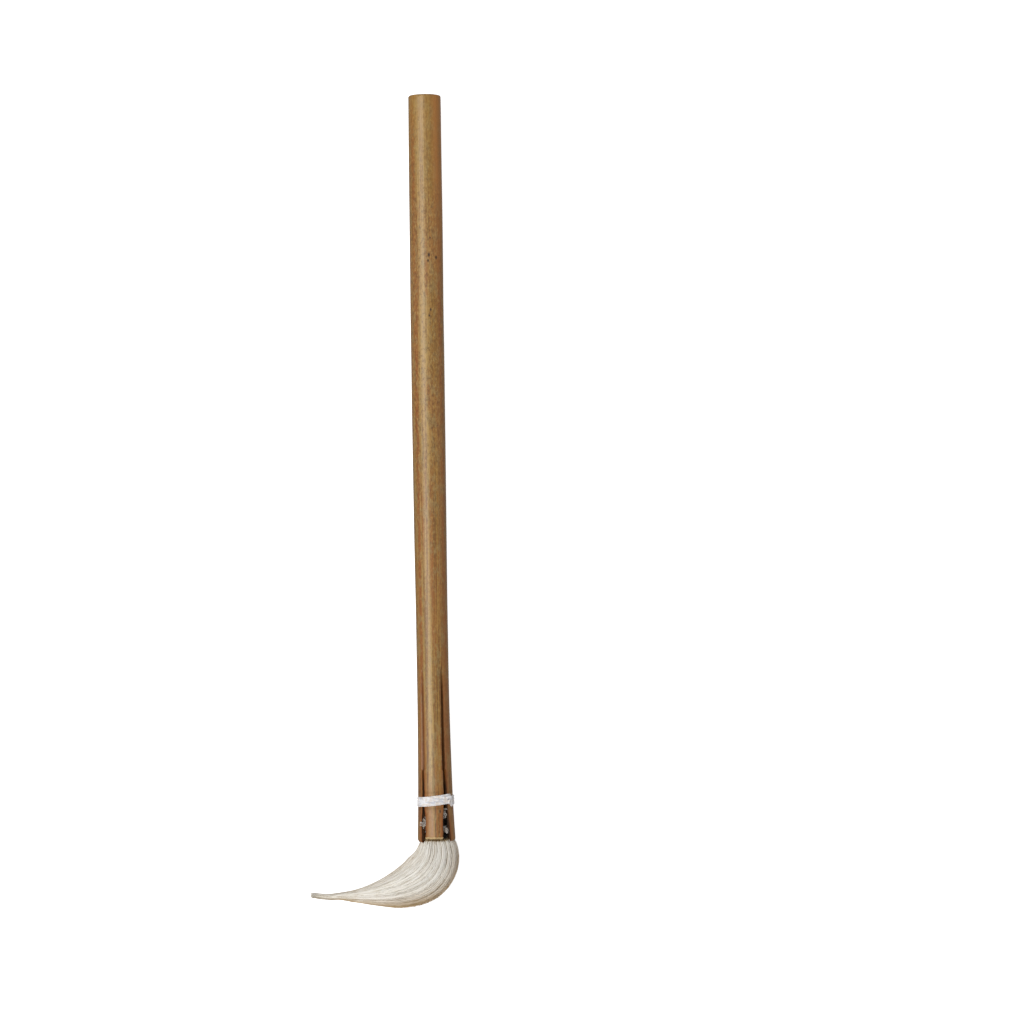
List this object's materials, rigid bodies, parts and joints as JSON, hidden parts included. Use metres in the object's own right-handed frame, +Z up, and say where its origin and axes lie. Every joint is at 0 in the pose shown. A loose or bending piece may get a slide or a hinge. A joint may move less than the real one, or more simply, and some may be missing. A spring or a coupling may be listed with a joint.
{
  "type": "calligraphy brush",
  "caption": "Slim bamboo calligraphy brush: hollow handle split into staves and thread-bound at its mouth, with a pale hair tuft that stands bent to one side.",
  "frame": {"origin": "middle of the underside of the whole brush as it lies on a flat surface", "axes": "+Y runs along the handle to its cut top, with the tuft at the -Y end; +Z is up from the surface the brush lies on; the tuft sweeps to -X"},
  "size_m": [0.0394, 0.22, 0.0107],
  "materials": {
    "bamboo": "satin bamboo skin with fine lengthwise streaks",
    "cotton_thread": "matt twisted cotton",
    "goat_hair": "soft hair, slightly glossy",
    "core_goat_hair": "soft hair, slightly darker",
    "resin": "dark glossy resin"
  },
  "bodies": {
    "handle": {"bamboo_handle": "bamboo", "binding_thread": "cotton_thread", "hair_root": "goat_hair", "lower_root_tie": "cotton_thread", "upper_root_tie": "cotton_thread", "root_seal": "resin"},
    "tuft": {"core_hair": "core_goat_hair", "cover_hair": "goat_hair"}
  },
  "joints": [
    {"name": "tuft_bend", "type": "hinge", "parent": "handle", "child": "tuft", "pos_m": [0.01433, -0.09669, 0.00542], "axis": [0, 0.0048, 1], "range_deg": [-20, 65], "stiffness_Nm_per_rad": 0.002}
  ]
}
